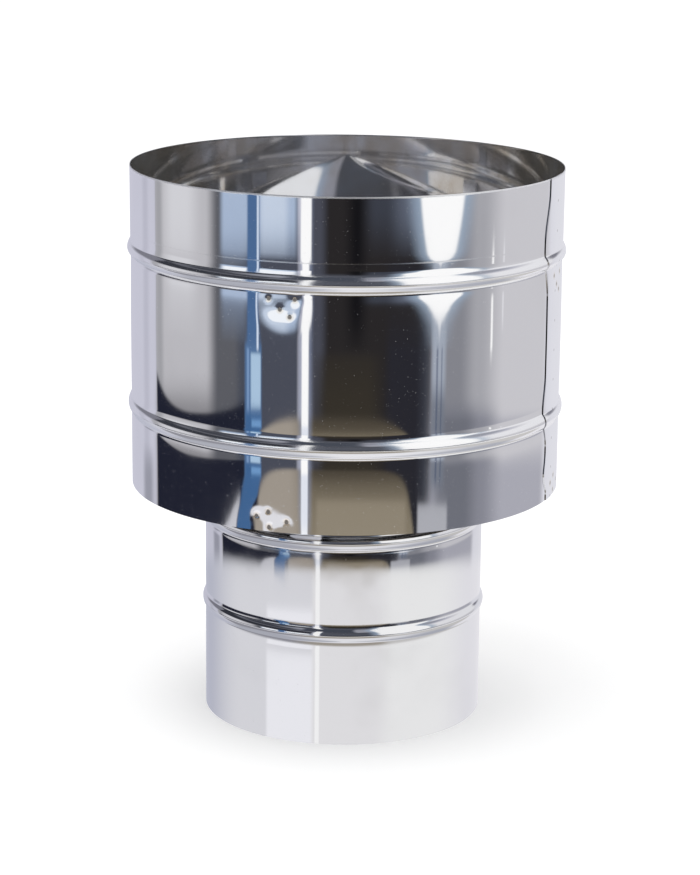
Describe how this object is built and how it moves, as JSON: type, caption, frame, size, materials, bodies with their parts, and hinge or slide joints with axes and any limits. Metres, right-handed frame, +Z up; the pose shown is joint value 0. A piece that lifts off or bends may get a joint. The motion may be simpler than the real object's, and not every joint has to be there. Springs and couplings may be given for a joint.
{
  "type": "chimney cowl",
  "caption": "Round chimney cowl in mirror-finish stainless sheet: a beaded inlet pipe, a wider open shell around its top and a conical rain hood inside.",
  "frame": {"origin": "centre of the inlet pipe's lower edge, on the flue axis", "axes": "+Z up along the flue axis, -Y towards the front as pictured, +X to its right"},
  "size_m": [0.3099, 0.3095, 0.396],
  "materials": {
    "shell_sheet": "mirror polished",
    "pipe_sheet": "mirror polished",
    "hood_sheet": "mirror polished",
    "strap_sheet": "bright rolled"
  },
  "bodies": {
    "root": {"inlet_pipe": "pipe_sheet", "outer_shell": "shell_sheet", "diffuser_cone": "pipe_sheet", "hood_cone": "hood_sheet", "hood_strap_1": "strap_sheet", "hood_strap_2": "strap_sheet", "hood_strap_3": "strap_sheet", "hood_strap_4": "strap_sheet", "pipe_strap_1": "strap_sheet", "pipe_strap_2": "strap_sheet", "pipe_strap_3": "strap_sheet", "pipe_strap_4": "strap_sheet"}
  },
  "joints": []
}
